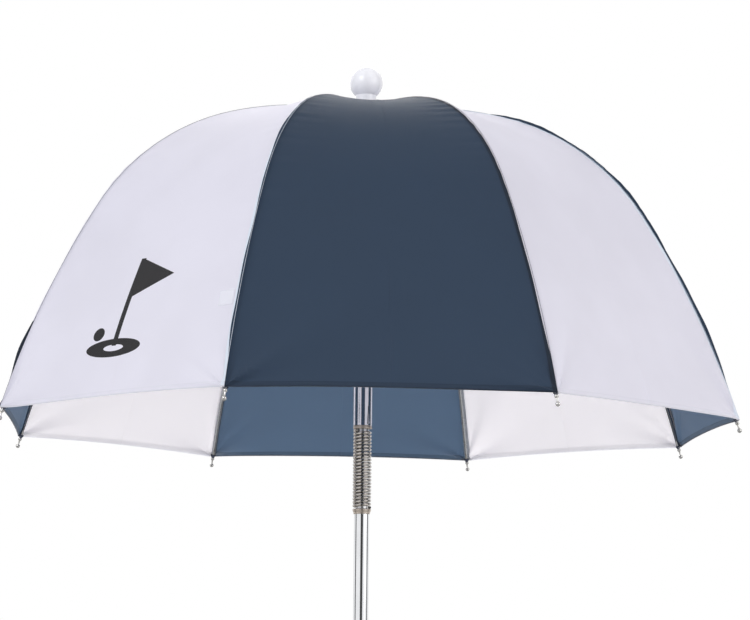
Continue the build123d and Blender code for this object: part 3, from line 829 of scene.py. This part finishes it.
def build_ribs():
    for k in range(1, SIDES + 1):
        inner, outer = f"rib_{k}_inner", f"rib_{k}_outer"
        strip = piece(f"rib_{k}_strip", rib_strip(k), strip_metal, None, [inner, outer], 40.0)
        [rib_frame(k, s).translation for s in RIB_BEND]
        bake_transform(strip)
        bracket = placed(joint_bracket(), rib_frame(k, JOINT_AT, JOINT_DROP))
        piece(f"rib_{k}_joint", bracket, wire_metal, inner)
        bead = rib_frame(k, RIB_LENGTH - TIP_BEAD_BACK, 1.45 * MM)
        tip = bead @ Matrix.Translation((TIP_BEAD_BACK, 0, 0))
        piece(f"rib_{k}_tip", placed(ball_tip(), tip), tip_metal, outer)
        knot = [winding(1.4, 0.40, 4, 2.6, -9.8), winding(2.1, 0.38, 3, 1.8, -10.6)]
        tie = joined(*(placed(turns, tip) for turns in knot))
        piece(f"rib_{k}_tie", tie, thread, outer)


# ---------------------------------------------------------------- tie strap on the printed panel
STRAP_AT = RIB_LENGTH - 0.26 * CANOPY_R
STRAP_LENGTH, STRAP_WIDTH = 15 * MM, 18 * MM
STRAP_FROM_SEAM = 14 * MM


def build_strap():
    """Folded band sewn flat to the cloth beside a seam, with a stitched border."""
    k = PRINTED_PANEL
    along, across = np.linspace(-0.5, 0.5, 22), np.linspace(-0.5, 0.5, 26)
    aa, cc = np.meshgrid(along, across, indexing="ij")
    t = STRAP_AT + aa * STRAP_LENGTH
    half = rib_curve(t)[0] * math.sin(HALF_SECTOR)
    u = 1 - (STRAP_FROM_SEAM + cc * STRAP_WIDTH) / half
    edge = np.minimum((0.5 - np.abs(aa)) * STRAP_LENGTH, (0.5 - np.abs(cc)) * STRAP_WIDTH) / MM
    puff = 0.55 * smooth(0, 0.7, edge) - 0.28 * np.exp(-(((edge - 2.0) / 0.45) ** 2))
    surface, normal = sheet(k, t, u), sheet_normal(k, t, u)
    outer = surface + normal * (0.12 + puff[..., None]) * MM
    inner = surface + normal * 0.06 * MM
    rows, columns = aa.shape
    count = rows * columns
    faces = grid_faces(rows, columns) + grid_faces(rows, columns, first=count)
    rim = [i * columns for i in range(rows)] + [count - columns + j for j in range(1, columns)]
    rim += [i * columns + columns - 1 for i in range(rows - 2, -1, -1)] + list(range(columns - 2, 0, -1))
    faces += [(a, b, b + count, a + count) for a, b in zip(rim, rim[1:] + rim[:1])]
    points = turn_z(np.concatenate([outer.reshape(-1, 3), inner.reshape(-1, 3)]), panel_angle(k))
    body = f"panel_{k}_lower"
    obj = piece("tie_strap", (points, faces), strap_cloth, body, ["closure_strap"])
    gather(obj)


# ---------------------------------------------------------------- carried-over CAD pieces
def finish_cad_nodes():
    """Smooth shading and a real finish on every CAD piece that stays in view."""
    wires = ("top_plug", "notch_wire", "runner_wire", "lower_spring_anchor", "upper_spring_anchor")
    finishes = {"lower_shaft": chrome, "upper_shaft": chrome, "crown_washer": white_plastic,
                "top_catch": catch_metal, "bottom_catch": catch_metal, "top_notch": black_plastic,
                "runner": black_plastic, "foot_plug": black_plastic, **dict.fromkeys(wires, wire_metal)}
    for name, obj in frame["nodes"].items():
        if obj.hide_render:
            continue
        obj.data.materials.clear()
        obj.data.materials.append(strip_metal if name.startswith("stretcher") else finishes[name])
        obj.data.polygons.foreach_set("use_smooth", [True] * len(obj.data.polygons))
        obj.data.set_sharp_from_angle(angle=math.radians(30))


build_finial()
build_collars()
build_spring()
build_ribs()
build_strap()
finish_cad_nodes()


# ---------------------------------------------------------------- stage, light and camera
def area(name, place, aim, size, power, colour):
    """Soft round lamp at a place, aimed at a point."""
    data = bpy.data.lights.new(name, "AREA")
    data.shape, data.size, data.energy, data.color = "DISK", size, power, colour
    lamp = bpy.data.objects.new(name, data)
    lamp.location = place
    lamp.visible_camera = False
    lamp.rotation_mode = "QUATERNION"
    lamp.rotation_quaternion = (Vector(aim) - Vector(place)).to_track_quat("-Z", "Y")
    bpy.context.scene.collection.objects.link(lamp)


FLOOR = 40.0  # half the side of the floor
FADE = (0.7, 3.2)  # distances from the shaft over which the floor turns white


def build_floor():
    """Pale floor fading into the white room, unseen by reflections."""
    material, tree, shader = new_material("pale_floor")
    speckle = mix(tree, noise(tree, 60.0, 4.0), (0.80, 0.80, 0.80, 1), (0.84, 0.84, 0.84, 1))
    tree.links.new(speckle, shader.inputs["Base Color"])
    shader.inputs["Roughness"].default_value = 0.8
    coords = add(tree, "ShaderNodeTexCoord").outputs["Object"]
    far = add(tree, "ShaderNodeVectorMath", {0: coords}, operation="LENGTH").outputs["Value"]
    haze = add(tree, "ShaderNodeEmission", {"Color": (1, 1, 1, 1), "Strength": 1.0}).outputs[0]
    fade = ramp(tree, far, *FADE, 0.0, 1.0)
    sweep = add(tree, "ShaderNodeMixShader", {0: fade, 1: shader.outputs[0], 2: haze})
    tree.links.new(sweep.outputs[0], tree.nodes["Material Output"].inputs["Surface"])
    signs = ((-1, -1), (1, -1), (1, 1), (-1, 1))
    corners = [(x * FLOOR, y * FLOOR, -0.5 * MM) for x, y in signs]
    floor = mesh_object("floor", corners, [(0, 1, 2, 3)], material)
    floor.visible_glossy = False


def reflected_room(tree, x, y, z):
    """Brightness that shiny metal sees: a white room, dark in front, at the sides and behind, dim below."""
    away = maths(tree, "ARCTAN2", maths(tree, "ABSOLUTE", x), maths(tree, "MULTIPLY", y, -1.0))
    front_gap = ramp(tree, away, 0.24, 0.40, 0.06, 1.0)
    from_side = maths(tree, "ABSOLUTE", maths(tree, "SUBTRACT", away, 1.75))
    side_gap = ramp(tree, from_side, 0.12, 0.26, 0.12, 1.0)
    far_gap = ramp(tree, away, 2.6, 2.9, 1.0, 0.45)
    below = ramp(tree, z, -0.45, -0.05, 0.60, 1.0)
    room = front_gap
    for share in (side_gap, far_gap, below):
        room = maths(tree, "MULTIPLY", room, share)
    return room


def build_world():
    """White for the camera, the room with gaps for reflections, and soft light a little stronger behind."""
    world = bpy.data.worlds.new("studio")
    world.use_nodes = True
    tree = world.node_tree
    back = tree.nodes["Background"]
    path = add(tree, "ShaderNodeLightPath")
    generated = add(tree, "ShaderNodeTexCoord").outputs["Generated"]
    x, y, z = add(tree, "ShaderNodeSeparateXYZ", {0: generated}).outputs
    level = ramp(tree, y, -0.2, 0.9, 0.76, 1.0)
    for ray, seen in (("Is Glossy Ray", reflected_room(tree, x, y, z)), ("Is Camera Ray", 1.0)):
        inputs = {0: path.outputs[ray], 2: level, 3: seen}
        level = add(tree, "ShaderNodeMix", inputs, data_type="FLOAT").outputs[0]
    tree.links.new(level, back.inputs["Strength"])
    back.inputs["Color"].default_value = (1, 1, 1, 1)
    bpy.context.scene.world = world


def build_lamps():
    centre = (0, 0, 0.8)
    area("key", (-1.8, -2.2, 2.3), centre, 1.6, 30, (0.93, 0.955, 1.0))
    area("fill", (2.4, -1.6, 1.4), centre, 1.8, 15, (1.0, 0.975, 0.965))
    area("back", (-0.2, 2.4, 2.2), centre, 2.0, 40, (1.0, 0.975, 0.96))


def build_camera():
    """Long lens a little under the hem, looking up, and rolled a touch as the umbrella leans."""
    data = bpy.data.cameras.new("camera")
    data.sensor_width, data.lens = 36.0, 124.7
    data.clip_start, data.clip_end = 0.05, 60
    camera = bpy.data.objects.new("camera", data)
    azimuth, pan, tilt, roll = (math.radians(angle) for angle in (-4.1, 0.25, 98.2, 0.55))
    distance, height = 6.825 * CANOPY_R, TIP_Z - 0.6408 * CANOPY_R
    place = Matrix.Translation((distance * math.sin(azimuth), -distance * math.cos(azimuth), height))
    turn = Matrix.Rotation(azimuth - pan, 4, "Z") @ Matrix.Rotation(tilt, 4, "X")
    camera.matrix_world = place @ turn @ Matrix.Rotation(roll, 4, "Z")
    bpy.context.scene.collection.objects.link(camera)
    bpy.context.scene.camera = camera
    bpy.context.scene.view_settings.view_transform = "Standard"


build_floor()
build_world()
build_lamps()
build_camera()
